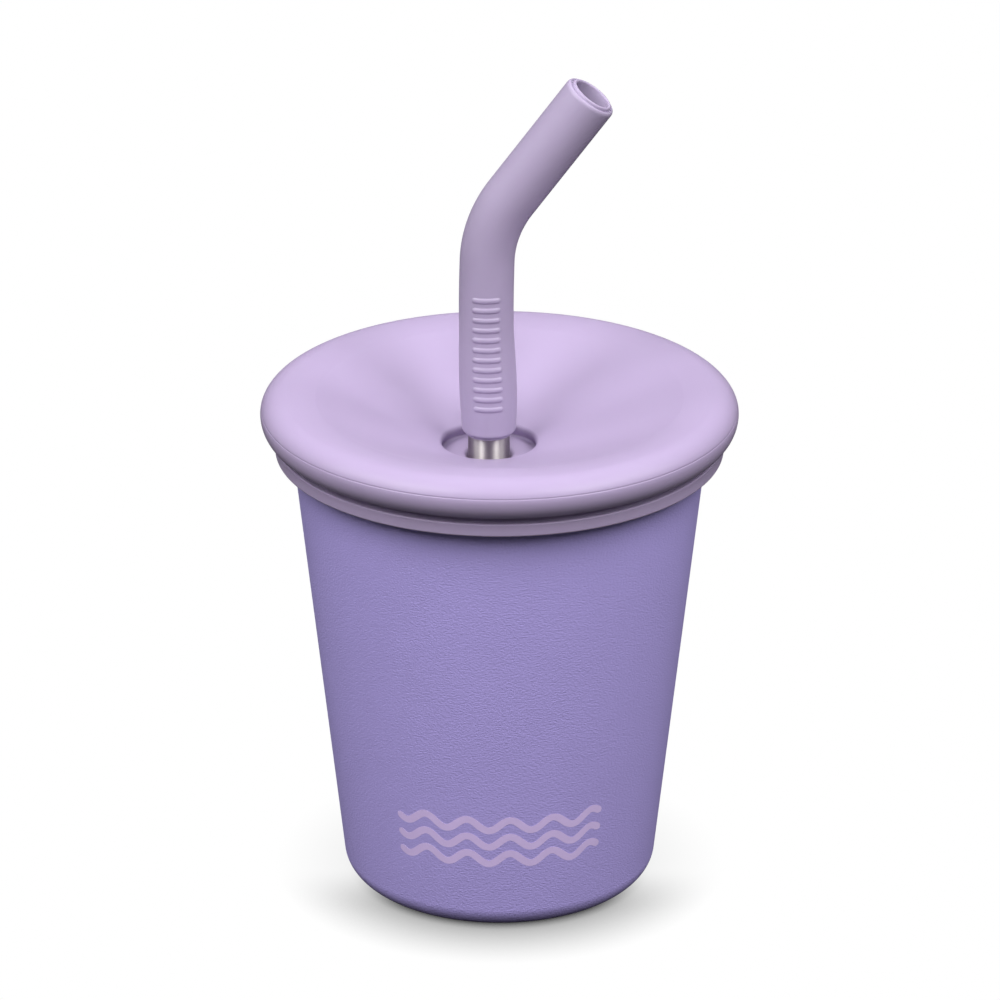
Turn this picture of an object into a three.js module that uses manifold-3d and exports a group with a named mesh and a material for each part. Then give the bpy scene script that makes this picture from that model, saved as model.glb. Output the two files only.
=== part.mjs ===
// A kids' straw tumbler: a tapered steel cup with a powder coat, a silicone lid that grips the cup's rim,
// and a steel straw with a bent silicone tip. Millimetres, +Z up, the origin is at the middle of the base,
// and the straw's tip bends towards +X.
import * as THREE from "three";
import { mergeVertices } from "three/addons/utils/BufferGeometryUtils.js";
import Module from "manifold-3d";

const RAD = Math.PI / 180;
const CUP_SIDES = 48; // facets round the cup and the lid
const STRAW_SIDES = 32; // facets round the straw

// The cup. Its wall is a straight taper above a rounded corner.
const BASE_R = 29.55; // where the steel wall's outside line meets the base plane
const TAPER = 0.1094; // radius gained per mm of height
const STEEL = 0.6; // sheet thickness
const CORNER_R = 4.75; // outside of the steel, between the base and the wall
const FOOT_R = 22.5; // inner edge of the flat ring that the cup stands on
const FOOT_RISE = 1.2; // how far the base is pressed up inside that ring
const FOOT_RAMP = 1.5; // width of the slope up to it
const RIM_TOP = 95.1;
const BEAD_R = 0.9; // radius of the rolled rim itself
const BEAD_OUT = 40.55; // outermost radius of the rolled rim
const BEAD_NECK = 2.6; // from the rim's top down to where the roll leaves the wall

// The powder coat lies on the outside of the wall.
const COAT = 0.22;
const COAT_GAP = 0.03; // the coat has the same facets as the steel, so it can lie this close
const COAT_TOP = 91.9;
const COAT_START = 20; // degrees round the bottom corner from the base plane

// The lid's flange and dish
const FLANGE_R = 45.5; // the flange's widest circle
const PARTING_Z = 96.4; // height of the mould line just above that circle
const WIDEST_DROP = 0.95; // from the mould line down to it
const CREST_RISE = 2.8; // from the mould line up to the flange's highest circle
const CREST_IN = 4.8; // from the flange's edge in to that circle
const UNDER_IN = 3.3; // half axes of the rounding below the widest circle
const UNDER_DROP = 3.9;
const UNDER_TURN = 62; // degrees of it
const DISH_R = 35; // where the flange turns down into the dish
const DISH_RISE = 2.05; // height of that circle over the mould line
const DISH_STEEP = 20.3; // slope of the dish in degrees, beside the well
const DISH_SHALLOW = 18.8; // and beside the flange
const DISH_SKIN = 2.3; // thickness of the dish, measured upright

// The lid's well, where the straw passes through
const WELL_R = 9;
const WELL_LIP = 0.9; // radius of the rounded edge between the dish and the well
const WELL_LIP_Z = 88.55; // height of that edge's centre
const WELL_FLOOR_Z = 86.7;
const WELL_FILLET = 0.5;
const BOSS_R = 11.2; // outside of the well, under the lid
const BOSS_BOTTOM = 84.6;
const VENT_R = 0.8; // air hole through the well's floor
const VENT_OFFSET = 6.4; // behind the straw's axis
const VENT_REACH = 10; // length of the cutter, longer than the floor is thick

// The lid's skirts. The cup's rolled rim sits between them.
const SKIRT_R = 42.75;
const SKIRT_BOTTOM = 87.7;
const SKIRT_TOP = 90.35;
const EDGE_ROUND = 0.5; // rounding of the lid's lower edges
const SKIRT_SHOULDER = 0.4; // rounding of the skirt's upper edge
const SKIRT_INSIDE = 40.72; // clears the rolled rim when the lid comes off
const NECK_R = 41.6; // floor of the groove between the skirt and the flange
const GROOVE_SLOPE = 0.2; // how much lower the flange's underside is at the groove
const SEAT_Z = 95.25; // rests on the rolled rim
const PLUG_R = 38.5; // the inner skirt, which fits inside the rim
const PLUG_TAPER = 0.9; // how much narrower its lower edge is
const PLUG_WALL = 2;
const PLUG_STRAIGHT = 4; // height of its upper part, which isn't tapered
const PLUG_BOTTOM = 86;

// The straw
const STRAW_X = -2; // the straw and its well sit a little off the lid's centre
const TUBE_R = 4;
const TUBE_BORE_R = 3.5;
const TUBE_BOTTOM = 6;
const RUNNING_R = 4.08; // the hole in the lid and the socket in the tip, round the tube
const TIP_BOTTOM = 91.1;
const SOCKET = 16; // length of tube inside the tip
const SOCKET_END_GAP = 0.3;
const TIP_R = 5.18;
const TIP_BORE_R = 3.6;
const TIP_LENGTH = 74.3; // along its centre line
const BULGE = 0.3; // the tip is stretched this far over the tube
const BULGE_END = 24; // distance along the tip at which the stretch has died away
const BULGE_RINGS = [4, 7, 10, 13.5, 17, 20.5, BULGE_END];
const BULGE_SKEW = 0.8; // below 1, the stretch is widest nearer to the collar
const COLLAR_R = 4.6; // thin collar round the socket's mouth
const COLLAR_STEP = 0.3;
const COLLAR_LEDGE = 0.05; // gap between the collar's edge and the rounding above it
const TIP_ROUND = 1.2; // length of that rounding
const LIP_RISE = 0.45; // raised lip round the mouth
const LIP_R = 4.25;
const LIP_EDGE = 0.15; // bevel on the lip's two edges
const LIP_GROOVE = 0.25; // depth of the narrow groove outside the lip
const MOUTH_SHOULDER = 0.5; // width of the rounding on the mouth's outer edge
const MOUTH_ROUND = 0.8; // and its length
const BEND_START = 34.9; // distance along the tip
const BEND_R = 22;
const BEND_ANGLE = 36; // degrees
const BEND_STEPS = 6;
const TIP_TURN = -6; // degrees about the straw's axis

const point = (r, z) => new THREE.Vector2(r, z);

// Points on an ellipse from one angle to another, in degrees, both ends included.
function arc(r, z, rx, rz, from, to, steps) {
  return new THREE.EllipseCurve(r, z, rx, rz, from * RAD, to * RAD, to < from).getPoints(steps);
}

// A closed profile of (radius, height) points, listed anticlockwise, turned round the Z axis.
function turned(profile, sides) {
  return new THREE.LatheGeometry(profile, sides).rotateX(Math.PI / 2);
}

function named(name, geometry, color, roughness, metalness) {
  const mesh = new THREE.Mesh(
    geometry,
    new THREE.MeshStandardMaterial({ color, roughness, metalness }),
  );
  mesh.name = name;
  return mesh;
}

// The wall's radius at a height, on a surface that lies out from the steel's outside face.
const slope = Math.atan(TAPER);
const cornerX = BASE_R + TAPER * CORNER_R - CORNER_R / Math.cos(slope);

function wallR(z, out) {
  return BASE_R + TAPER * z + out / Math.cos(slope);
}

// The bottom corner on the same surface, from one angle to another.
function corner(out, from, to, steps) {
  return arc(cornerX, CORNER_R, CORNER_R + out, CORNER_R + out, from, to, steps);
}

function steelCup() {
  const wallAngle = -slope / RAD;
  const neckZ = RIM_TOP - BEAD_NECK;
  return turned(
    [
      point(0, FOOT_RISE),
      point(FOOT_R - FOOT_RAMP, FOOT_RISE),
      point(FOOT_R, 0),
      ...corner(0, -90, wallAngle, 6),
      point(wallR(neckZ, 0), neckZ),
      ...arc(BEAD_OUT - BEAD_R, RIM_TOP - BEAD_R, BEAD_R, BEAD_R, -70, 250, 10),
      point(wallR(neckZ, -STEEL), neckZ),
      ...corner(-STEEL, wallAngle, -90, 5),
      point(FOOT_R, STEEL),
      point(FOOT_R - FOOT_RAMP, FOOT_RISE + STEEL),
      point(0, FOOT_RISE + STEEL),
    ],
    CUP_SIDES,
  );
}

// The coat stops on the corner above the ring that the cup stands on, and below the bare rolled rim.
function powderCoat() {
  const face = (out) => [
    ...corner(out, COAT_START - 90, -slope / RAD, 5),
    point(wallR(COAT_TOP, out), COAT_TOP),
  ];
  const outer = face(COAT_GAP + COAT);
  return turned([...outer, ...face(COAT_GAP).reverse(), outer[0]], CUP_SIDES);
}

// The dish's upper face from the well's edge out to the flange.
function dishCurve() {
  const lipAngle = 90 + DISH_STEEP;
  const start = arc(WELL_R + WELL_LIP, WELL_LIP_Z, WELL_LIP, WELL_LIP, lipAngle, lipAngle, 1)[0];
  const end = point(DISH_R, PARTING_Z + DISH_RISE);
  const steep = Math.tan(DISH_STEEP * RAD);
  const shallow = Math.tan(DISH_SHALLOW * RAD);
  const middleR = (end.y - start.y + steep * start.x - shallow * end.x) / (steep - shallow);
  const middle = point(middleR, start.y + steep * (middleR - start.x));
  return new THREE.QuadraticBezierCurve(start, middle, end);
}

function boss() {
  return [
    point(RUNNING_R, BOSS_BOTTOM),
    point(BOSS_R - EDGE_ROUND, BOSS_BOTTOM),
    point(BOSS_R, BOSS_BOTTOM + EDGE_ROUND),
  ];
}

function dishUnderside() {
  return dishCurve()
    .getPoints(5)
    .filter((p) => p.x > BOSS_R)
    .map((p) => point(p.x, p.y - DISH_SKIN));
}

function plug() {
  const insideR = PLUG_R - PLUG_WALL;
  return [
    point(insideR, SEAT_Z),
    point(insideR - PLUG_TAPER, PLUG_BOTTOM + EDGE_ROUND),
    point(insideR - PLUG_TAPER + EDGE_ROUND, PLUG_BOTTOM),
    point(PLUG_R - PLUG_TAPER - EDGE_ROUND, PLUG_BOTTOM),
    point(PLUG_R - PLUG_TAPER, PLUG_BOTTOM + EDGE_ROUND),
    point(PLUG_R, SEAT_Z - PLUG_STRAIGHT),
    point(PLUG_R, SEAT_Z),
  ];
}

// Heights of the flange's widest circle and of its lowest edge
const widestZ = PARTING_Z - WIDEST_DROP;
const underZ = widestZ - UNDER_DROP * Math.sin(UNDER_TURN * RAD);

function outerSkirt() {
  const footR = SKIRT_R - EDGE_ROUND;
  const shoulderR = SKIRT_R - SKIRT_SHOULDER;
  const shoulderZ = SKIRT_TOP - SKIRT_SHOULDER;
  return [
    point(SKIRT_INSIDE, SEAT_Z),
    point(SKIRT_INSIDE, SKIRT_BOTTOM),
    ...arc(footR, SKIRT_BOTTOM + EDGE_ROUND, EDGE_ROUND, EDGE_ROUND, -90, 0, 2),
    ...arc(shoulderR, shoulderZ, SKIRT_SHOULDER, SKIRT_SHOULDER, 0, 80, 3),
    point(NECK_R, underZ - GROOVE_SLOPE),
  ];
}

function flange() {
  const crest = point(FLANGE_R - CREST_IN, PARTING_Z + CREST_RISE);
  const dishEdge = point(DISH_R, PARTING_Z + DISH_RISE);
  const crown = new THREE.QuadraticBezierCurve(
    crest,
    point((crest.x + dishEdge.x) / 2, crest.y),
    dishEdge,
  );
  return [
    ...arc(FLANGE_R - UNDER_IN, widestZ, UNDER_IN, UNDER_DROP, -UNDER_TURN, 0, 4),
    ...arc(crest.x, widestZ, CREST_IN, crest.y - widestZ, 0, 90, 5).slice(1),
    ...crown.getPoints(2).slice(1),
  ];
}

function dishAndWell() {
  return [
    ...dishCurve().getPoints(5).reverse().slice(1),
    ...arc(WELL_R + WELL_LIP, WELL_LIP_Z, WELL_LIP, WELL_LIP, 90 + DISH_STEEP, 180, 3).slice(1),
    point(WELL_R, WELL_FLOOR_Z + WELL_FILLET),
    point(WELL_R - WELL_FILLET, WELL_FLOOR_Z),
    point(RUNNING_R, WELL_FLOOR_Z),
  ];
}

// Moves the well and the boss onto the straw's axis. The dish takes up the difference.
function shiftWell(geometry) {
  const place = geometry.attributes.position;
  for (let i = 0; i < place.count; i++) {
    const r = Math.hypot(place.getX(i), place.getY(i));
    const share = 1 - THREE.MathUtils.smoothstep(r, BOSS_R, DISH_R);
    place.setX(i, place.getX(i) + STRAW_X * share);
  }
  return geometry;
}

const wasm = await Module();
wasm.setup();

function solidOf(geometry) {
  const plain = geometry.clone();
  plain.deleteAttribute("normal");
  plain.deleteAttribute("uv");
  const merged = mergeVertices(plain, 1e-3);
  return new wasm.Manifold(
    new wasm.Mesh({
      numProp: 3,
      vertProperties: merged.attributes.position.array,
      triVerts: new Uint32Array(merged.index.array),
    }),
  );
}

function geometryOf(solid) {
  const mesh = solid.getMesh();
  const geometry = new THREE.BufferGeometry();
  geometry.setAttribute("position", new THREE.BufferAttribute(mesh.vertProperties, 3));
  geometry.setIndex(new THREE.BufferAttribute(mesh.triVerts, 1));
  geometry.computeVertexNormals();
  return geometry;
}

function siliconeLid() {
  const profile = [
    ...boss(),
    ...dishUnderside(),
    ...plug(),
    ...outerSkirt(),
    ...flange(),
    ...dishAndWell(),
  ];
  const body = shiftWell(turned([...profile, profile[0]], CUP_SIDES));
  const vent = new THREE.CylinderGeometry(VENT_R, VENT_R, VENT_REACH, 12)
    .rotateX(Math.PI / 2)
    .translate(STRAW_X, VENT_OFFSET, (BOSS_BOTTOM + WELL_FLOOR_Z) / 2);
  return geometryOf(solidOf(body).subtract(solidOf(vent)));
}

function steelTube() {
  const top = TIP_BOTTOM + SOCKET;
  const profile = [
    point(TUBE_BORE_R, TUBE_BOTTOM),
    point(TUBE_R, TUBE_BOTTOM),
    point(TUBE_R, top),
    point(TUBE_BORE_R, top),
  ];
  return turned([...profile, profile[0]], STRAW_SIDES);
}

// Distances along the tip at which the bend has a ring of points.
function bendRings() {
  const length = BEND_R * BEND_ANGLE * RAD;
  return Array.from({ length: BEND_STEPS + 1 }, (_, i) => BEND_START + (length * i) / BEND_STEPS);
}

// The tip's outside while it is still straight, with the stretch over the tube.
function tipOutside() {
  const stretched = BULGE_RINGS.map((s) => {
    const swell = Math.sin(Math.PI * (s / BULGE_END) ** BULGE_SKEW) ** 2;
    return point(TIP_R + BULGE * swell, s);
  });
  const footR = COLLAR_R + COLLAR_LEDGE;
  return [
    point(RUNNING_R, 0),
    point(COLLAR_R, 0),
    point(COLLAR_R, COLLAR_STEP),
    ...arc(footR, COLLAR_STEP + TIP_ROUND, TIP_R - footR, TIP_ROUND, -90, 0, 3),
    ...stretched,
    ...bendRings().map((s) => point(TIP_R, s)),
  ];
}

function tipMouth() {
  const shoulderR = TIP_R - MOUTH_SHOULDER;
  const grooveZ = TIP_LENGTH - LIP_GROOVE;
  const lipZ = TIP_LENGTH + LIP_RISE;
  return [
    ...arc(shoulderR, TIP_LENGTH - MOUTH_ROUND, MOUTH_SHOULDER, MOUTH_ROUND, 0, 90, 3),
    point(LIP_R + LIP_EDGE, grooveZ),
    point(LIP_R, grooveZ),
    point(LIP_R - LIP_EDGE, lipZ),
    point(TIP_BORE_R + LIP_EDGE, lipZ),
    point(TIP_BORE_R, lipZ - LIP_EDGE),
  ];
}

function tipBore() {
  const end = SOCKET + SOCKET_END_GAP;
  return [
    ...bendRings()
      .reverse()
      .map((s) => point(TIP_BORE_R, s)),
    point(TIP_BORE_R, end),
    point(RUNNING_R, end),
    point(RUNNING_R, 0),
  ];
}

// Bends a straight piece that stands on the origin towards +X: straight, then an arc, then straight.
function bend(geometry) {
  const place = geometry.attributes.position;
  for (let i = 0; i < place.count; i++) {
    const along = place.getZ(i);
    const angle = THREE.MathUtils.clamp((along - BEND_START) / BEND_R, 0, BEND_ANGLE * RAD);
    const before = Math.min(along, BEND_START);
    const after = Math.max(0, along - BEND_START - BEND_R * BEND_ANGLE * RAD);
    const centreX = BEND_R * (1 - Math.cos(angle)) + after * Math.sin(angle);
    const centreZ = before + BEND_R * Math.sin(angle) + after * Math.cos(angle);
    const x = place.getX(i);
    place.setX(i, centreX + x * Math.cos(angle));
    place.setZ(i, centreZ - x * Math.sin(angle));
  }
  return geometry;
}

function straw() {
  const group = new THREE.Group();
  group.position.x = STRAW_X;
  const tube = named("straw_tube", steelTube(), 0xb4aeb0, 0.3, 1);
  const profile = [...tipOutside(), ...tipMouth(), ...tipBore()];
  const tip = named("straw_tip", bend(turned(profile, STRAW_SIDES)), 0xb8a8ce, 0.55, 0);
  tip.position.z = TIP_BOTTOM;
  tip.rotation.z = TIP_TURN * RAD;
  group.add(tube, tip);
  return group;
}

const tumbler = new THREE.Group();
tumbler.add(
  named("cup", steelCup(), 0xb9b4b0, 0.35, 1),
  named("powder_coat", powderCoat(), 0x8f84bb, 0.5, 0),
  named("lid", siliconeLid(), 0xcbbbdf, 0.5, 0),
  straw(),
);

export default tumbler;
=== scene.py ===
"""A kids' straw tumbler: fine meshes and materials for the cup, its powder coat and print, the silicone
lid, the steel tube and the bent silicone tip, on a pale studio floor. Lengths are in millimetres until a
mesh is made, except the studio's, which are in metres."""

import math

import bmesh
import bpy
import numpy as np
from mathutils import Matrix, Vector


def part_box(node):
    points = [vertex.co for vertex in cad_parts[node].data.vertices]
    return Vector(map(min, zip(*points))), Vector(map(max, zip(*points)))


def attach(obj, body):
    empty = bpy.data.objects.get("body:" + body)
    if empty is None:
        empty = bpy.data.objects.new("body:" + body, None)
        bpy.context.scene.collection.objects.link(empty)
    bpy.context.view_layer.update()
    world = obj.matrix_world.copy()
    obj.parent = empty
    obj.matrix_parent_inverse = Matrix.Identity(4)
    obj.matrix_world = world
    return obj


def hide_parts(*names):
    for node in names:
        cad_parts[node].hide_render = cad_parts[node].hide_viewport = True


MM = 0.001
TAU = 2 * math.pi

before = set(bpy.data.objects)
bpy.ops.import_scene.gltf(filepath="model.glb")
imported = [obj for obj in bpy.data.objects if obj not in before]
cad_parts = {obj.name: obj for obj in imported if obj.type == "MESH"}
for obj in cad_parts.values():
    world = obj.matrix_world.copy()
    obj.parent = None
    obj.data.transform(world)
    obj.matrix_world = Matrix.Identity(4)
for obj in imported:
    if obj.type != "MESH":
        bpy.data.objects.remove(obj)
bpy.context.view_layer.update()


def box_mm(node):
    """A CAD node's lowest and highest corners in millimetres."""
    low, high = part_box(node)
    return low / MM, high / MM


cup_high = box_mm("cup")[1]
lid_low, lid_high = box_mm("lid")
tube_low, tube_high = box_mm("straw_tube")

# Cup. Sizes not read off model.glb's part boxes are the CAD's.
TAPER = 0.1094
BASE_R = 29.55  # where the steel wall's outside line meets the base plane
CORNER_R = 4.75
STEEL = 0.6
FOOT_R = 22.5
FOOT_RISE = 1.2
FOOT_RAMP = 2.2  # width of the pressed step inside the ring that the cup stands on
FOOT_SHIFT = 0.2  # how much further in that step lies on the cup's inside
FOOT_STEPS = 12
RIM_TOP = cup_high.z
BEAD_R = 0.9
BEAD_OUT = cup_high.x
BEAD_NECK = 2.6  # from the rim's top down to where the roll leaves the wall
BEAD_FROM = -66  # degrees round the roll
BEAD_TO = 246
COAT_GAP = 0.03
COAT = 0.22
COAT_TOP = box_mm("powder_coat")[1].z
COAT_START = 20  # degrees round the bottom corner from the base plane

# Lid
FLANGE_R = lid_high.x
CREST_Z = lid_high.z
PARTING_Z = CREST_Z - 2.8
CREST_IN = 4.8
WIDEST_Z = PARTING_Z - 0.95
ROLL_START = 2  # degrees round the flange's roll, just above its widest circle
MOULD_LINE = 1.5  # half the mould line's width, in degrees round the roll
MOULD_DEPTH = 0.07
MOULD_DROP = 0.02
UNDER_IN = 3.3  # half axes of the flange's rounding below its widest circle
UNDER_DROP = 3.9
UNDER_TURN = 62  # degrees
DISH_R = 35
DISH_EDGE_Z = CREST_Z - 0.75
DISH_STEEP = 20.3  # slope beside the well, in degrees
DISH_SHALLOW = 18.8  # slope beside the flange
DISH_SKIN = 2.3
WELL_R = 9
WELL_LIP = 0.9
WELL_LIP_Z = PARTING_Z - 7.85
WELL_LIP_END = 200  # degrees, so the lip hangs a little over the well's wall
WELL_FLOOR_Z = PARTING_Z - 9.7
WELL_FILLET = 0.5
SEAL_MOUTH = (1.0, 1.4)  # half axes of the rounding where the straw enters
SEAL_EDGE = 0.3
BOSS_R = 11.2
BOSS_BOTTOM = lid_low.z
BOSS_EDGE = 0.6
BOSS_ROOT = 1.2  # from the boss out to where the dish's underside starts
SKIRT_R = 42.75
SKIRT_BOTTOM = PARTING_Z - 8.7
SKIRT_TOP = PARTING_Z - 6.05
SKIRT_INSIDE = 40.72
SKIRT_CLOSING = 2.8  # height over its lower edge at which the skirt closes on the coat
SKIRT_GAP = 0.8  # between its lip and the coat
SKIRT_GAP_RISE = 0.6  # height over the skirt's lower edge at which that gap is measured
SKIRT_LIP = (0.35, 0.45)  # half axes of the lip
SKIRT_LIP_RISE = 0.5  # height of the lip's middle over the skirt's lower edge
SKIRT_LIP_FROM = 150  # degrees
SKIRT_EDGE = 0.45
SKIRT_SHOULDER = (0.25, 0.3)
SKIRT_SHOULDER_TURN = 80  # degrees
NECK_R = 41.6
NECK_FOOT = 0.12  # rounding at the bottom of the groove
NECK_FOOT_RISE = 0.15
NECK_HEAD = 0.25  # rounding at its top
NECK_HEAD_DROP = 0.2
NECK_HEAD_TURN = 95  # degrees
SEAT_Z = RIM_TOP + 0.15
SEAT_OUTSIDE = 0.4  # roundings at the seat's outer and inner side
SEAT_INSIDE = 0.3
PLUG_R = 38.5
PLUG_TAPER = 0.9
PLUG_WALL = 2
PLUG_BOTTOM = PARTING_Z - 10.4
PLUG_EDGE = 0.7
PLUG_ROOT = 0.6  # how far under the seat the plug's inner wall starts
PLUG_STRAIGHT = 4
PLUG_BEAD = (0.16, 0.5)  # half axes of the sealing bead
PLUG_BEAD_DROP = 2.6  # of its middle under the seat
DISH_END = 1  # how far inside the dish's edge its underside ends
VENT_R = 0.8
VENT_OFFSET = 6.4  # behind the straw's axis
VENT_SIDES = 32
VENT_PAST = (2, 1.5)  # how far the cutter goes below the boss and above the floor

# Straw
STRAW_X = (tube_low.x + tube_high.x) / 2
TUBE_R = (tube_high.x - tube_low.x) / 2
TUBE_BORE_R = 3.5
RUNNING_R = 4.08
TIP_BOTTOM = box_mm("straw_tip")[0].z
TIP_R = 5.18
TIP_BORE_R = 3.6
TIP_LENGTH = 74.3
SOCKET = tube_high.z - TIP_BOTTOM
SOCKET_END_GAP = 0.3
BORE_TOP = 1  # from the mouth down to where the bore's smooth stretch ends
BULGE = 0.3
BULGE_START = 1.4
BULGE_END = 24
BULGE_EASE = 2
BULGE_STEP = 0.6
BULGE_SKEW = 0.8  # below 1, the stretch is widest nearer to the collar
COLLAR_R = 4.6
COLLAR_MOUTH = 0.12
COLLAR_EDGE = 0.15
COLLAR_CREASE = (0.1, 0.33, 0.07)  # its depth, its distance along the tip and its radius
COLLAR_TOP = 1.2  # distance along the tip of the rounding above the collar
COLLAR_LEDGE = 0.05
COLLAR_DROP = 0.8  # length of that rounding
LIP_RISE = 0.45
LIP_R = 4.25
LIP_GROOVE = (4.42, 0.15, 0.12)  # its radius round the bore, its depth and its own radius
MOUTH_SHOULDER = (0.5, 0.8)  # half axes of the rounding on the mouth's outer edge
BEND_START = 34.9
BEND_R = 22
BEND_ANGLE = math.radians(36)
TIP_TURN = math.radians(-6)
LEAN = 0.5  # how far the tip bows back before its bend
LEAN_SPAN = 50

# Printed waves and the tip's grip ribs
PRINT_Z = 19.7
PRINT_LENGTH = 41
PRINT_LINE = 1.5
PRINT_WAVE = 8.2
PRINT_SWING = 1.15
PRINT_PITCH = 3.7
PRINT_STEP = 0.25
INK = 0.015
INK_SUNK = 0.01  # how far the print reaches into the coat
THINNEST = 0.0016  # square of the least part of a line's width, at its ends
RIBS = 12
RIB_FROM = 6.6  # distance along the tip
RIB_PITCH = 2.0
RIB_REACH = 2.3
RIB_HALF = 0.5
RIB_HEIGHT = 0.24
RIB_SKIN = 0.2  # the ribs take only points this close to the tip's outside, or further out
FINE_RING = 0.11  # distance between rings where the ribs are
RING = 0.8
RING_SKIN = 0.3

# Studio. A softbox is its name, azimuth, elevation, size, watts and whether it shows in reflections. Two of
# them don't, as they would add a third streak to the tube and a glare to the dish.
LIGHT_AIM = 0.08
LIGHT_DISTANCE = 0.9
SOFTBOXES = (
    ("left", -82, 46, (0.3, 0.6), 2.4, True),
    ("front_left", -46, 46, (0.3, 0.6), 4.9, True),
    ("front", 0, 46, (0.24, 0.6), 3.0, False),
    ("front_right", 46, 46, (0.3, 0.6), 4.7, True),
    ("right", 84, 46, (0.3, 0.6), 2.4, True),
    ("back", 178, 62, (0.9, 0.5), 3.8, False),
)
WORLD_FILL = 0.045
FLOOR_REACH = 8
FLOOR_GREY = (0.04, 0.04, 0.04)  # the floor as other surfaces see it
CONTACT = 0.0145  # reach of the painted soft shadow where the cup stands
SHADE_BACK = (-0.003, 0.2)  # a distance towards the back, and how strong the painted shadow is there
SHADE_FRONT = (-0.022, 1.0)  # the same nearer to the front
CAMERA_AIM = (0.0001, 0, 0.0769)
CAMERA_DISTANCE = 1.2
CAMERA_RISE = 23.34  # degrees
CAMERA_LENS = 225.7
SENSOR = 36
CLIP = (0.01, 100)

# Colours and surfaces
COAT_COLOR = (0.465, 0.388, 0.82)
INK_COLOR = (0.74, 0.58, 0.95)
LID_COLOR = (0.38, 0.306, 0.47)
TIP_COLOR = (0.38, 0.318, 0.46)
STEEL_COLOR = (0.60, 0.585, 0.57)
TUBE_COLOR = (0.62, 0.59, 0.57)
SILICONE_REACH = 1.2  # how far light goes into silicone
SILICONE_DEPTH = (1.0, 0.7, 0.9)  # red's, green's and blue's share of that
SCRATCH_FINE = 2600  # how fast the steel's noise changes across the scratches, and along them
SCRATCH_LONG = 3

# Fineness
CUP_SIDES = 256
STRAW_SIDES = 96
TIP_SIDES = 224
HOLD = 0.06  # distance of the added points from the ends of a straight stretch
HOLDS = 6  # a stretch gets them if it is longer than this many holds
SAME_POINT = 1e-6
CREASE = math.radians(50)  # edges sharper than this stay sharp


# Profiles ----------------------------------------------------------------------------------------------


def oval(r, z, axes, start, stop, steps):
    """Points (radius, height) on an ellipse between two angles in degrees, both ends included."""
    angles = np.radians(np.linspace(start, stop, steps + 1))
    return [(r + axes[0] * math.cos(a), z + axes[1] * math.sin(a)) for a in angles]


def arc(r, z, radius, start, stop, steps):
    return oval(r, z, (radius, radius), start, stop, steps)


def bezier(a, b, c, steps):
    """Points on a quadratic curve from a to c, pulled towards b."""
    t = np.linspace(0, 1, steps + 1)[:, None]
    a, b, c = (np.array(p, float) for p in (a, b, c))
    return [tuple(p) for p in (1 - t) ** 2 * a + 2 * t * (1 - t) * b + t**2 * c]


def held(points, longest):
    """Adds points to the long straight stretches of a profile: one near each end, so that a rounded edge
    keeps its shading to itself, and the rest evenly."""
    out = [points[0]]
    for p, q in zip(points, points[1:]):
        p, q = np.array(p, float), np.array(q, float)
        length = np.linalg.norm(q - p)
        if length < SAME_POINT:
            continue
        if length > HOLDS * HOLD:
            count = max(2, math.ceil(length / longest) + 1)
            stops = np.linspace(HOLD / length, 1 - HOLD / length, count)
            out += [tuple(p + (q - p) * s) for s in stops]
        out.append(tuple(q))
    return out


def mesh_object(name, vertices_mm, faces, slot, body, *nodes):
    """A piece from vertices in millimetres, smooth-shaded, that rides on a body and stands for CAD nodes."""
    mesh = bpy.data.meshes.new(name)
    mesh.from_pydata((np.asarray(vertices_mm, float) * MM).tolist(), [], faces)
    mesh.validate()
    mesh.shade_smooth()
    piece = bpy.data.objects.new(name, mesh)
    bpy.context.scene.collection.objects.link(piece)
    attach(piece, body)
    if nodes:
        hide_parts(*nodes)
    return piece


def turned(profile, sides, closed):
    """Vertices and faces of a profile turned round Z. One that isn't closed starts and ends on the axis."""
    profile = np.array(profile[:-1] if closed else profile, float)
    rings = profile if closed else profile[1:-1]
    angles = np.arange(sides) * TAU / sides
    grid = np.stack(
        [
            rings[:, :1] * np.cos(angles),
            rings[:, :1] * np.sin(angles),
            np.repeat(rings[:, 1:], sides, 1),
        ],
        2,
    )
    vertices = grid.reshape(-1, 3)
    count = len(rings)
    faces = []
    for i in range(count if closed else count - 1):
        j = (i + 1) % count
        for k in range(sides):
            m = (k + 1) % sides
            faces.append((i * sides + k, i * sides + m, j * sides + m, j * sides + k))
    if not closed:
        vertices = np.vstack([vertices, [(0, 0, profile[0][1]), (0, 0, profile[-1][1])]])
        first, last = len(vertices) - 2, len(vertices) - 1
        top = (count - 1) * sides
        for k in range(sides):
            m = (k + 1) % sides
            faces.append((first, m, k))
            faces.append((last, top + k, top + m))
    return vertices, faces


# Cup ---------------------------------------------------------------------------------------------------

slope = math.atan(TAPER)
wall_angle = -math.degrees(slope)
corner_x = BASE_R + TAPER * CORNER_R - CORNER_R / math.cos(slope)


def wall_r(z, out=0.0):
    """The cup's radius at a height, on a surface that lies out from the steel's outside face."""
    return BASE_R + TAPER * z + out / math.cos(slope)


def corner(out, start, stop, steps):
    """Round the bottom corner, on a surface that lies out from the steel's outside face."""
    return arc(corner_x, CORNER_R, CORNER_R + out, start, stop, steps)


def base_step(r, z):
    """The pressed step between the flat ring and the raised middle of the base, as a smooth S."""
    t = np.linspace(0, 1, FOOT_STEPS + 1)
    rise = FOOT_RISE * (3 * t**2 - 2 * t**3)
    return [(r - FOOT_RAMP * s, z + h) for s, h in zip(t, rise)]


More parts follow.
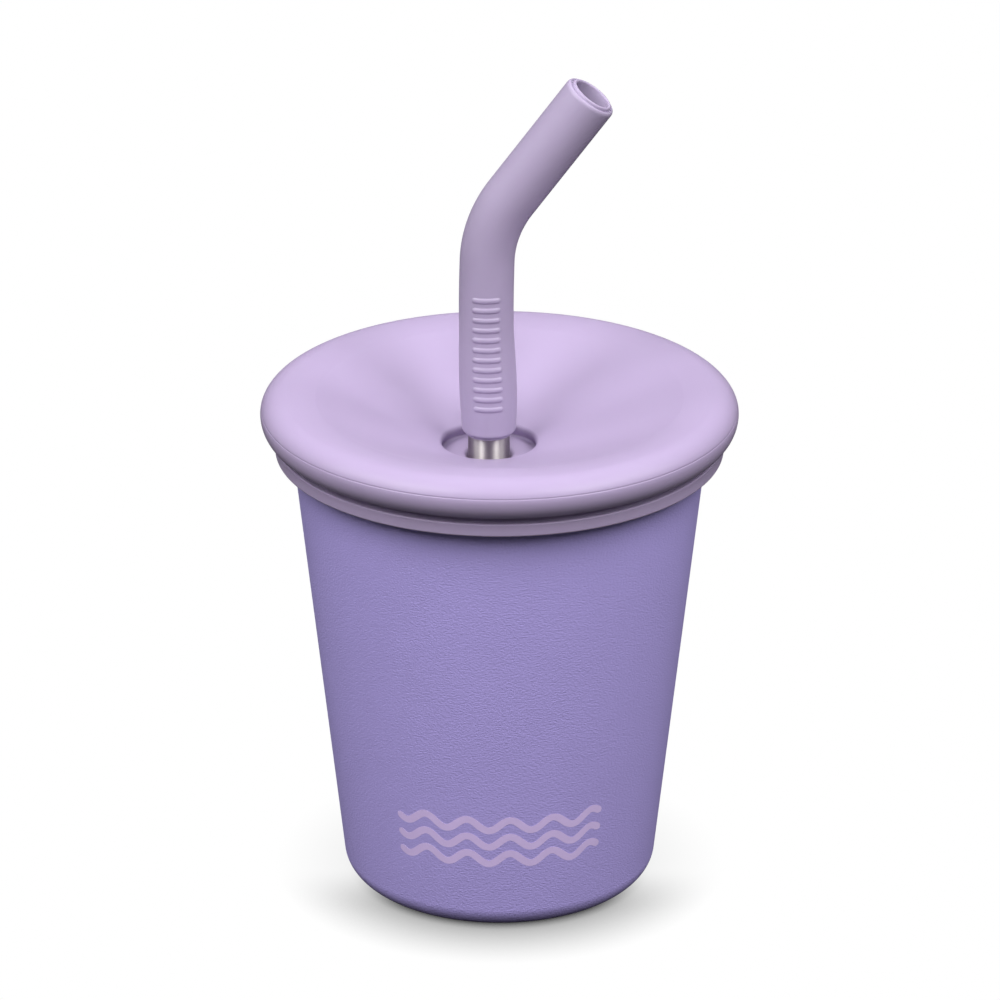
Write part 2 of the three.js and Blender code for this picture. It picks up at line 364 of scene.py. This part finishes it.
def make_cup():
    neck_z = RIM_TOP - BEAD_NECK
    profile = [
        (0, FOOT_RISE),
        *reversed(base_step(FOOT_R, 0)),
        *corner(0, -90, wall_angle, steps=14),
        (wall_r(neck_z), neck_z),
        *arc(BEAD_OUT - BEAD_R, RIM_TOP - BEAD_R, BEAD_R, BEAD_FROM, BEAD_TO, steps=28),
        (wall_r(neck_z, -STEEL), neck_z),
        *corner(-STEEL, wall_angle, -90, steps=12),
        *base_step(FOOT_R - FOOT_SHIFT, STEEL),
        (0, FOOT_RISE + STEEL),
    ]
    vertices, faces = turned(held(profile, longest=6), CUP_SIDES, closed=False)
    return mesh_object("steel_cup", vertices, faces, "bare_steel", "tumbler", "cup")


def make_coat():
    """The coat, with a rounded edge at the top and a thin one at the bottom."""
    outside = COAT_GAP + COAT
    top_r = (wall_r(COAT_TOP, COAT_GAP) + wall_r(COAT_TOP, outside)) / 2
    profile = [
        *corner(outside, COAT_START - 90, wall_angle, steps=18),
        *arc(top_r, COAT_TOP - COAT / 2, COAT / 2, 0, 180, steps=6),
        *corner(COAT_GAP, wall_angle, COAT_START - 90, steps=18),
    ]
    vertices, faces = turned(held([*profile, profile[0]], longest=4), CUP_SIDES, closed=True)
    return mesh_object("powder_coat_skin", vertices, faces, "powder_coat", "tumbler", "powder_coat")


def wavy_line(height):
    """The outline of one wavy line with round ends, as left and right points (along, across)."""
    end = PRINT_LENGTH / 2
    along = np.linspace(-end, end, int(PRINT_LENGTH / PRINT_STEP) + 1)
    across = height + PRINT_SWING * np.sin(TAU * along / PRINT_WAVE)
    slant = np.arctan(TAU / PRINT_WAVE * PRINT_SWING * np.cos(TAU * along / PRINT_WAVE))
    half = PRINT_LINE / 2
    to_end = np.clip((end - np.abs(along)) / half, 0, 1)
    half *= np.sqrt(np.clip(1 - (1 - to_end) ** 2, THINNEST, 1))
    left = np.stack([along - half * np.sin(slant), across + half * np.cos(slant)], 1)
    right = np.stack([along + half * np.sin(slant), across - half * np.cos(slant)], 1)
    return left, right


def make_print():
    """Three wavy lines of pale ink on the front of the coat."""
    vertices, faces = [], []
    around = wall_r(PRINT_Z, COAT_GAP + COAT)

    def place(points, out):
        angle = points[:, 0] / around
        r = wall_r(PRINT_Z + points[:, 1], COAT_GAP + COAT + out)
        return np.stack([r * np.sin(angle), -r * np.cos(angle), PRINT_Z + points[:, 1]], 1)

    for row in (-1, 0, 1):
        left, right = wavy_line(row * PRINT_PITCH)
        strips = [place(left, -INK_SUNK), place(left, INK), place(right, INK), place(right, -INK_SUNK)]
        first, count = len(vertices), len(left)
        vertices += [p for strip in strips for p in strip]
        for s in range(4):
            a, b = first + s * count, first + ((s + 1) % 4) * count
            faces += [(a + i, a + i + 1, b + i + 1, b + i) for i in range(count - 1)]
        faces.append([first + s * count for s in range(4)])
        faces.append([first + s * count + count - 1 for s in reversed(range(4))])
    piece = mesh_object("printed_waves", vertices, faces, "lid_silicone", "tumbler")
    piece.data.set_sharp_from_angle(angle=CREASE)
    return piece


# Lid ---------------------------------------------------------------------------------------------------


def dish_curve(steps):
    """The dish's upper face from the well's rounded edge out to the flange."""
    tilt = math.radians(DISH_STEEP)
    start = (WELL_R + WELL_LIP - WELL_LIP * math.sin(tilt), WELL_LIP_Z + WELL_LIP * math.cos(tilt))
    end = (DISH_R, DISH_EDGE_Z)
    steep, shallow = (math.tan(math.radians(a)) for a in (DISH_STEEP, DISH_SHALLOW))
    middle_r = (end[1] - start[1] + steep * start[0] - shallow * end[0]) / (steep - shallow)
    return bezier(start, (middle_r, start[1] + steep * (middle_r - start[0])), end, steps)


def lid_underside():
    """From the straw's seal, out under the dish and round the inner skirt, to the seat on the rim."""
    seal = [
        (RUNNING_R, BOSS_BOTTOM + SEAL_EDGE),
        *arc(RUNNING_R + SEAL_EDGE, BOSS_BOTTOM + SEAL_EDGE, SEAL_EDGE, 180, 270, steps=4),
        *arc(BOSS_R - BOSS_EDGE, BOSS_BOTTOM + BOSS_EDGE, BOSS_EDGE, -90, 0, steps=6),
    ]
    under = [(r, z - DISH_SKIN) for r, z in dish_curve(steps=20)]
    dish = [(r, z) for r, z in under if BOSS_R + BOSS_ROOT < r < DISH_R - DISH_END]
    inside = PLUG_R - PLUG_WALL
    edge_z = PLUG_BOTTOM + PLUG_EDGE
    plug = [
        (inside, SEAT_Z - PLUG_ROOT),
        *arc(inside - PLUG_TAPER + PLUG_EDGE, edge_z, PLUG_EDGE, 180, 270, steps=6),
        *arc(PLUG_R - PLUG_TAPER - PLUG_EDGE, edge_z, PLUG_EDGE, -90, 0, steps=6),
        (PLUG_R, SEAT_Z - PLUG_STRAIGHT),
        *oval(PLUG_R, SEAT_Z - PLUG_BEAD_DROP, PLUG_BEAD, -90, 90, steps=6),
        (PLUG_R, SEAT_Z - SEAT_INSIDE),
        *arc(PLUG_R + SEAT_INSIDE, SEAT_Z - SEAT_INSIDE, SEAT_INSIDE, 180, 90, steps=4),
    ]
    return [*seal, *dish, *plug]


def outer_skirt():
    """The outer skirt, with a lip that closes on the coat, and the groove above it."""
    lip_z = SKIRT_BOTTOM + SKIRT_LIP_RISE
    lip_r = wall_r(SKIRT_BOTTOM + SKIRT_GAP_RISE, COAT_GAP + COAT) + SKIRT_GAP
    under_z = WIDEST_Z - UNDER_DROP * math.sin(math.radians(UNDER_TURN))
    shoulder_r, shoulder_z = SKIRT_R - SKIRT_SHOULDER[0], SKIRT_TOP - SKIRT_SHOULDER[1]
    return [
        *arc(SKIRT_INSIDE - SEAT_OUTSIDE, SEAT_Z - SEAT_OUTSIDE, SEAT_OUTSIDE, 90, 0, steps=4),
        (SKIRT_INSIDE, SKIRT_BOTTOM + SKIRT_CLOSING),
        *oval(lip_r + SKIRT_LIP[0], lip_z, SKIRT_LIP, SKIRT_LIP_FROM, 270, steps=8),
        *arc(SKIRT_R - SKIRT_EDGE, lip_z, SKIRT_EDGE, -90, 0, steps=8),
        *oval(shoulder_r, shoulder_z, SKIRT_SHOULDER, 0, SKIRT_SHOULDER_TURN, steps=8),
        *arc(NECK_R + NECK_FOOT, SKIRT_TOP + NECK_FOOT_RISE, NECK_FOOT, -90, -180, steps=4),
        *arc(NECK_R + NECK_HEAD, under_z - NECK_HEAD_DROP, NECK_HEAD, 180, NECK_HEAD_TURN, steps=4),
    ]


def flange():
    """The flange's roll with its mould line, and the slope from its crest to the dish."""
    crest_r = FLANGE_R - CREST_IN
    upper = (CREST_IN, CREST_Z - WIDEST_Z)
    mould = math.degrees(math.asin((PARTING_Z - WIDEST_Z) / upper[1]))
    line = (upper[0] - MOULD_DEPTH, upper[1] - MOULD_DROP)
    crown = bezier((crest_r, CREST_Z), ((crest_r + DISH_R) / 2, CREST_Z), (DISH_R, DISH_EDGE_Z), steps=10)
    return [
        *oval(FLANGE_R - UNDER_IN, WIDEST_Z, (UNDER_IN, UNDER_DROP), -UNDER_TURN, 0, steps=20),
        *oval(crest_r, WIDEST_Z, upper, ROLL_START, mould - MOULD_LINE, steps=5),
        *oval(crest_r, WIDEST_Z, line, mould, mould, steps=0),
        *oval(crest_r, WIDEST_Z, upper, mould + MOULD_LINE, 90, steps=24),
        *crown[1:],
    ]


def lid_well():
    """Down the dish, over the lip and along the well's floor to the hole that the straw passes through."""
    lip = arc(WELL_R + WELL_LIP, WELL_LIP_Z, WELL_LIP, 90 + DISH_STEEP, WELL_LIP_END, steps=16)
    return [
        *reversed(dish_curve(steps=36)[:-1]),
        *lip[1:],
        *arc(WELL_R, WELL_FLOOR_Z + WELL_FILLET, WELL_FILLET, 0, -90, steps=8),
        *oval(RUNNING_R + SEAL_MOUTH[0], WELL_FLOOR_Z - SEAL_MOUTH[1], SEAL_MOUTH, 90, 180, steps=10),
    ]


def shift_well(vertices):
    """Moves the well and the boss onto the straw's axis. The dish takes up the difference."""
    r = np.hypot(vertices[:, 0], vertices[:, 1])
    t = np.clip((r - BOSS_R) / (DISH_R - BOSS_R), 0, 1)
    vertices[:, 0] += STRAW_X * (1 - t * t * (3 - 2 * t))
    return vertices


def cut_hole(piece, x, y, radius, low, high):
    """Cuts a round hole along Z through a piece."""
    mesh = bpy.data.meshes.new("cutter")
    maker = bmesh.new()
    size = {"radius1": radius * MM, "radius2": radius * MM, "depth": (high - low) * MM}
    bmesh.ops.create_cone(maker, cap_ends=True, segments=VENT_SIDES, **size)
    maker.to_mesh(mesh)
    maker.free()
    mesh.transform(Matrix.Translation(Vector((x, y, (low + high) / 2)) * MM))
    cutter = bpy.data.objects.new("cutter", mesh)
    bpy.context.scene.collection.objects.link(cutter)
    cut = piece.modifiers.new("cut", "BOOLEAN")
    cut.operation, cut.object, cut.solver = "DIFFERENCE", cutter, "EXACT"
    depsgraph = bpy.context.evaluated_depsgraph_get()
    made = bpy.data.meshes.new_from_object(piece.evaluated_get(depsgraph))
    piece.modifiers.clear()
    piece.data = made
    bpy.data.objects.remove(cutter)
    made.set_sharp_from_angle(angle=CREASE)


def make_lid():
    profile = [*lid_underside(), *outer_skirt(), *flange(), *lid_well()]
    vertices, faces = turned(held([*profile, profile[0]], longest=2), CUP_SIDES, closed=True)
    lid = mesh_object("straw_lid", shift_well(vertices), faces, "lid_silicone", "lid", "lid")
    cut_hole(lid, STRAW_X, VENT_OFFSET, VENT_R, BOSS_BOTTOM - VENT_PAST[0], WELL_FLOOR_Z + VENT_PAST[1])
    return lid


# Straw -------------------------------------------------------------------------------------------------


def make_tube():
    """The steel tube, with its cut ends rounded off."""
    middle = (TUBE_R + TUBE_BORE_R) / 2
    edge = (TUBE_R - TUBE_BORE_R) / 2
    profile = [
        *arc(middle, tube_low.z + edge, edge, 180, 360, steps=10),
        *arc(middle, tube_high.z - edge, edge, 0, 180, steps=10),
    ]
    vertices, faces = turned(held([*profile, profile[0]], longest=3), STRAW_SIDES, closed=True)
    vertices[:, 0] += STRAW_X
    return mesh_object("steel_straw", vertices, faces, "brushed_tube", "straw", "straw_tube")


def tip_profile():
    """The tip's outside, mouth and bore while it is still straight, as (radius, distance along)."""
    stretch = np.arange(BULGE_START, BULGE_END, BULGE_STEP)[1:]
    bump = np.sin(math.pi * (stretch / BULGE_END) ** BULGE_SKEW) ** 2
    ease = np.clip((stretch - BULGE_START) / BULGE_EASE, 0, 1)
    crease_in, crease_at, crease = COLLAR_CREASE
    ledge = COLLAR_R - COLLAR_LEDGE
    groove_r, groove_drop, groove = LIP_GROOVE
    lip_r = (TIP_BORE_R + LIP_R) / 2
    lip = (LIP_R - TIP_BORE_R) / 2
    return [
        *arc(RUNNING_R + COLLAR_MOUTH, COLLAR_MOUTH, COLLAR_MOUTH, 180, 270, steps=3),
        *arc(COLLAR_R - COLLAR_EDGE, COLLAR_EDGE, COLLAR_EDGE, -90, 60, steps=6),
        *arc(COLLAR_R - crease_in, crease_at, crease, -120, -240, steps=4),
        *oval(ledge, COLLAR_TOP, (TIP_R - ledge, COLLAR_DROP), -90, 0, steps=14),
        *[(TIP_R + BULGE * b * e, s) for s, b, e in zip(stretch, bump, ease)],
        (TIP_R, BULGE_END),
        *oval(TIP_R - MOUTH_SHOULDER[0], TIP_LENGTH - MOUTH_SHOULDER[1], MOUTH_SHOULDER, 0, 90, steps=8),
        *arc(groove_r, TIP_LENGTH - groove_drop, groove, 0, -180, steps=6),
        *arc(lip_r, TIP_LENGTH + LIP_RISE - lip, lip, 0, 180, steps=10),
        (TIP_BORE_R, TIP_LENGTH - BORE_TOP),
        (TIP_BORE_R, SOCKET + SOCKET_END_GAP),
        (RUNNING_R, SOCKET + SOCKET_END_GAP),
    ]


def rings_along(profile, fine_from, fine_to):
    """Adds rings to the long stretches of a profile, close together where the ribs are."""
    out = []
    for p, q in zip(profile, [*profile[1:], profile[0]]):
        out.append(p)
        length = math.dist(p, q)
        s = 0.0
        while True:
            at = p[1] + (q[1] - p[1]) * s / length
            outside = p[0] > TIP_R - RING_SKIN
            s += FINE_RING if outside and fine_from <= at <= fine_to else RING
            if s > length - FINE_RING / 2:
                break
            out.append((p[0] + (q[0] - p[0]) * s / length, p[1] + (q[1] - p[1]) * s / length))
    return out


def raise_ribs(vertices):
    """A column of short raised grip ribs up the front of the tip."""
    facing = np.arctan2(vertices[:, 1], vertices[:, 0]) + math.pi / 2 + TIP_TURN
    across = ((facing + math.pi) % TAU - math.pi) * TIP_R
    r = np.hypot(vertices[:, 0], vertices[:, 1])
    number = np.clip(np.round((vertices[:, 2] - RIB_FROM) / RIB_PITCH), 0, RIBS - 1)
    nearest = RIB_FROM + RIB_PITCH * number
    beyond = np.maximum(np.abs(across) - RIB_REACH, 0)
    away = np.hypot(vertices[:, 2] - nearest, beyond)
    t = np.clip((RIB_HALF - away) / RIB_HALF, 0, 1)
    height = RIB_HEIGHT * np.sqrt(1 - (1 - t) ** 2)
    grow = np.where(r > TIP_R - RIB_SKIN, height, 0) / r
    vertices[:, :2] *= 1 + grow[:, None]
    return vertices


def bend(vertices):
    """Bends a straight piece that stands on the origin towards +X: straight, then an arc, then straight."""
    along = vertices[:, 2]
    angle = np.clip((along - BEND_START) / BEND_R, 0, BEND_ANGLE)
    before = np.minimum(along, BEND_START)
    after = np.maximum(0, along - BEND_START - BEND_R * BEND_ANGLE)
    x = -LEAN * np.sin(math.pi * np.clip(along / LEAN_SPAN, 0, 1)) ** 2
    x += BEND_R * (1 - np.cos(angle)) + after * np.sin(angle) + vertices[:, 0] * np.cos(angle)
    z = before + BEND_R * np.sin(angle) + after * np.cos(angle) - vertices[:, 0] * np.sin(angle)
    return np.stack([x, vertices[:, 1], z], 1)


def make_tip():
    rib_end = RIB_FROM + RIB_PITCH * RIBS
    profile = rings_along(tip_profile(), RIB_FROM - RIB_HALF * 2, rib_end)
    vertices, faces = turned([*profile, profile[0]], TIP_SIDES, closed=True)
    vertices = bend(raise_ribs(vertices))
    turn = np.array(Matrix.Rotation(TIP_TURN, 3, "Z"))
    vertices = vertices @ turn.T + np.array((STRAW_X, 0, TIP_BOTTOM))
    return mesh_object("flex_tip", vertices, faces, "tip_silicone", "tip", "straw_tip")


# Materials ---------------------------------------------------------------------------------------------


class Shader:
    """A node material, built from its Principled shader backwards."""

    def __init__(self, name, color, roughness, **sockets):
        self.material = bpy.data.materials.new(name)
        self.material.use_nodes = True
        self.tree = self.material.node_tree
        self.shader = self.tree.nodes["Principled BSDF"]
        self.shader.inputs["Base Color"].default_value = (*color, 1)
        self.shader.inputs["Roughness"].default_value = roughness
        for socket, value in sockets.items():
            self.shader.inputs[socket.replace("_", " ")].default_value = value

    def node(self, kind, inputs=None, **settings):
        made = self.tree.nodes.new("ShaderNode" + kind)
        for key, value in settings.items():
            setattr(made, key, value)
        for socket, value in (inputs or {}).items():
            if isinstance(value, bpy.types.NodeSocket):
                self.tree.links.new(value, made.inputs[socket])
            else:
                made.inputs[socket].default_value = value
        return made

    def math(self, operation, a, b=0.0):
        return self.node("Math", {0: a, 1: b}, operation=operation).outputs[0]

    def place(self):
        """The point's position on the piece, in metres."""
        return self.node("TexCoord").outputs["Object"]

    def noise(self, where, scale, detail=2.0, roughness=0.5):
        inputs = {"Vector": where, "Scale": scale, "Detail": detail, "Roughness": roughness}
        return self.node("TexNoise", inputs).outputs["Fac"]

    def tint(self, value, color, spread):
        """The base colour is a little darker or lighter with a 0 to 1 value."""
        self.tint_between(value, scaled(color, 1 - spread), scaled(color, 1 + spread))

    def tint_between(self, value, dark, light):
        mix = self.node("Mix", {"Factor": value}, data_type="RGBA")
        mix.inputs["A"].default_value = (*dark, 1)
        mix.inputs["B"].default_value = (*light, 1)
        self.tree.links.new(mix.outputs["Result"], self.shader.inputs["Base Color"])

    def rough(self, value, low, high):
        """The roughness runs from low to high with a 0 to 1 value."""
        scale = self.node("MapRange", {"Value": value, "To Min": low, "To Max": high})
        self.tree.links.new(scale.outputs["Result"], self.shader.inputs["Roughness"])

    def bump(self, height, depth, before=None):
        """The normal of a 0 to 1 height that is depth millimetres deep."""
        inputs = {"Height": height, "Distance": depth * MM, "Strength": 1.0}
        if before:
            inputs["Normal"] = before
        return self.node("Bump", inputs).outputs["Normal"]

    def normal(self, socket):
        self.tree.links.new(socket, self.shader.inputs["Normal"])


def scaled(color, factor):
    return tuple(c * factor for c in color)


def powder_coat_material():
    """Satin powder coat with an orange peel that is wider than it is high."""
    s = Shader("powder_coat", COAT_COLOR, roughness=0.46, IOR=1.5)
    where = s.place()
    flat = s.node("Mapping", {"Vector": where, "Scale": (1, 1, 1.7)}).outputs["Vector"]
    peel = s.noise(flat, scale=2000)
    grain = s.noise(where, scale=3200)
    cloud = s.noise(where, scale=60, detail=3, roughness=0.6)
    s.tint(cloud, COAT_COLOR, spread=0.035)
    s.rough(peel, low=0.42, high=0.54)
    s.normal(s.bump(grain, depth=0.006, before=s.bump(peel, depth=0.105)))
    return s.material


def silicone_material(name, color, depth):
    """Satin silicone that lets a little light in."""
    s = Shader(name, color, roughness=0.4, IOR=1.4, Subsurface_Weight=0.12)
    s.shader.inputs["Subsurface Radius"].default_value = SILICONE_DEPTH
    s.shader.inputs["Subsurface Scale"].default_value = SILICONE_REACH * MM
    where = s.place()
    skin = s.noise(where, scale=5200)
    cloud = s.noise(where, scale=35, detail=3, roughness=0.55)
    s.tint(cloud, color, spread=0.02)
    s.rough(skin, low=0.36, high=0.45)
    s.normal(s.bump(skin, depth))
    return s.material


def print_material():
    s = Shader("print_ink", INK_COLOR, roughness=0.5, IOR=1.45)
    where = s.place()
    s.tint(s.noise(where, scale=400), INK_COLOR, spread=0.04)
    s.normal(s.bump(s.noise(where, scale=900, roughness=0.45), depth=0.02))
    return s.material


def around_axis(s, x):
    """Radius, height and angle round the upright axis at x, all in metres or radians."""
    split = s.node("SeparateXYZ", {"Vector": s.place()}).outputs
    across, away = s.math("SUBTRACT", split["X"], x * MM), split["Y"]
    squares = s.math("ADD", s.math("MULTIPLY", across, across), s.math("MULTIPLY", away, away))
    return s.math("SQRT", squares), split["Z"], s.math("ARCTAN2", away, across)


def steel_material(name, color, axis_x, roughness):
    """Brushed steel, with scratches that run round the axis."""
    s = Shader(name, color, roughness, Metallic=1.0, Anisotropic=0.97, Anisotropic_Rotation=0.25)
    radius, height, angle = around_axis(s, axis_x)
    inputs = {
        "X": s.math("MULTIPLY", radius, SCRATCH_FINE),
        "Y": s.math("MULTIPLY", height, SCRATCH_FINE),
        "Z": s.math("MULTIPLY", angle, SCRATCH_LONG),
    }
    lines = s.noise(s.node("CombineXYZ", inputs).outputs[0], scale=1, detail=3, roughness=0.6)
    smear = s.noise(s.place(), scale=120, detail=3, roughness=0.6)
    s.tint_between(lines, scaled(color, 0.9), scaled(color, 1.08))
    both = s.math("MULTIPLY", s.math("ADD", lines, smear), 0.5)
    s.rough(both, low=roughness - 0.07, high=roughness + 0.09)
    s.normal(s.bump(lines, depth=0.004))
    tangent = s.node("Tangent", direction_type="RADIAL", axis="Z").outputs[0]
    s.tree.links.new(tangent, s.shader.inputs["Tangent"])
    return s.material


def floor_material():
    """White paper with a painted soft shadow round what stands on it: its glow is dimmed where nearby
    surfaces close it in, more towards the front. As a light, it is a dull grey.
    """
    white = (1, 1, 1, 1)
    s = Shader("floor", FLOOR_GREY, roughness=0.8, Specular_IOR_Level=0.0, Emission_Color=white)
    seen = s.node("LightPath").outputs["Is Camera Ray"]
    s.tint_between(seen, FLOOR_GREY, (0, 0, 0))
    # Painted shadow: ambient occlusion, made stronger towards the front, dims the floor's white glow.
    open_sky = s.node("AmbientOcclusion", {"Distance": CONTACT}, samples=12).outputs["AO"]
    across = s.node("SeparateXYZ", {"Vector": s.place()}).outputs["Y"]
    (back, faint), (front, full) = SHADE_BACK, SHADE_FRONT
    inputs = {"Value": across, "From Min": back, "From Max": front, "To Min": faint, "To Max": full}
    painted_shadow_strength = s.node("MapRange", inputs, interpolation_type="SMOOTHSTEP").outputs["Result"]
    dark = s.math("MULTIPLY", s.math("SUBTRACT", 1.0, open_sky), painted_shadow_strength)
    glow = s.math("MULTIPLY", s.math("SUBTRACT", 1.0, dark), seen)
    s.tree.links.new(glow, s.shader.inputs["Emission Strength"])
    return s.material


# Scene -------------------------------------------------------------------------------------------------


def softbox(name, azimuth, elevation, size, power, shines):
    """A soft light that faces the cup. Azimuth 0 is the camera's side, and grows to the right."""
    data = bpy.data.lights.new(name, "AREA")
    data.shape = "RECTANGLE"
    data.size, data.size_y = size
    data.energy = power
    turn, rise = math.radians(azimuth), math.radians(elevation)
    out = Vector((math.sin(turn) * math.cos(rise), -math.cos(turn) * math.cos(rise), math.sin(rise)))
    light = bpy.data.objects.new(name, data)
    light.location = Vector((0, 0, LIGHT_AIM)) + out * LIGHT_DISTANCE
    light.rotation_mode = "QUATERNION"
    light.rotation_quaternion = (-out).to_track_quat("-Z", "Y")
    light.visible_camera = False
    light.visible_glossy = shines
    bpy.context.scene.collection.objects.link(light)


def make_world():
    """White to look at, and a dim grey as a light."""
    world = bpy.data.worlds.new("studio")
    world.use_nodes = True
    bpy.context.scene.world = world
    tree = world.node_tree
    background = tree.nodes["Background"]
    seen = tree.nodes.new("ShaderNodeLightPath").outputs["Is Camera Ray"]
    strength = tree.nodes.new("ShaderNodeMapRange")
    strength.inputs["To Min"].default_value = WORLD_FILL
    strength.inputs["To Max"].default_value = 1.0
    tree.links.new(seen, strength.inputs["Value"])
    tree.links.new(strength.outputs["Result"], background.inputs["Strength"])
    background.inputs["Color"].default_value = (1, 1, 1, 1)


def make_floor():
    """A floor with one face, so that no edge crosses it."""
    mesh = bpy.data.meshes.new("floor")
    angles = (math.radians(a) for a in (90, 210, 330))
    corners = [(FLOOR_REACH * math.cos(a), FLOOR_REACH * math.sin(a), 0) for a in angles]
    mesh.from_pydata(corners, [], [(0, 1, 2)])
    mesh.materials.append(floor_material())
    floor = bpy.data.objects.new("floor", mesh)
    bpy.context.scene.collection.objects.link(floor)


def make_camera():
    """A long lens, level from side to side."""
    data = bpy.data.cameras.new("camera")
    data.lens = CAMERA_LENS
    data.sensor_width = SENSOR
    data.clip_start, data.clip_end = CLIP
    camera = bpy.data.objects.new("camera", data)
    rise = math.radians(CAMERA_RISE)
    back = Vector((0, -math.cos(rise), math.sin(rise)))
    camera.location = Vector(CAMERA_AIM) + back * CAMERA_DISTANCE
    camera.rotation_mode = "QUATERNION"
    camera.rotation_quaternion = (-back).to_track_quat("-Z", "Y")
    bpy.context.scene.collection.objects.link(camera)
    bpy.context.scene.camera = camera


make_camera()
make_cup().data.materials.append(steel_material("bare_steel", STEEL_COLOR, 0, roughness=0.3))
make_coat().data.materials.append(powder_coat_material())
make_print().data.materials.append(print_material())
make_lid().data.materials.append(silicone_material("lid_silicone", LID_COLOR, depth=0.004))
make_tube().data.materials.append(steel_material("brushed_tube", TUBE_COLOR, STRAW_X, roughness=0.5))
make_tip().data.materials.append(silicone_material("tip_silicone", TIP_COLOR, depth=0.006))
make_floor()
for light in SOFTBOXES:
    softbox(*light)
make_world()
bpy.context.scene.view_settings.view_transform = "Standard"
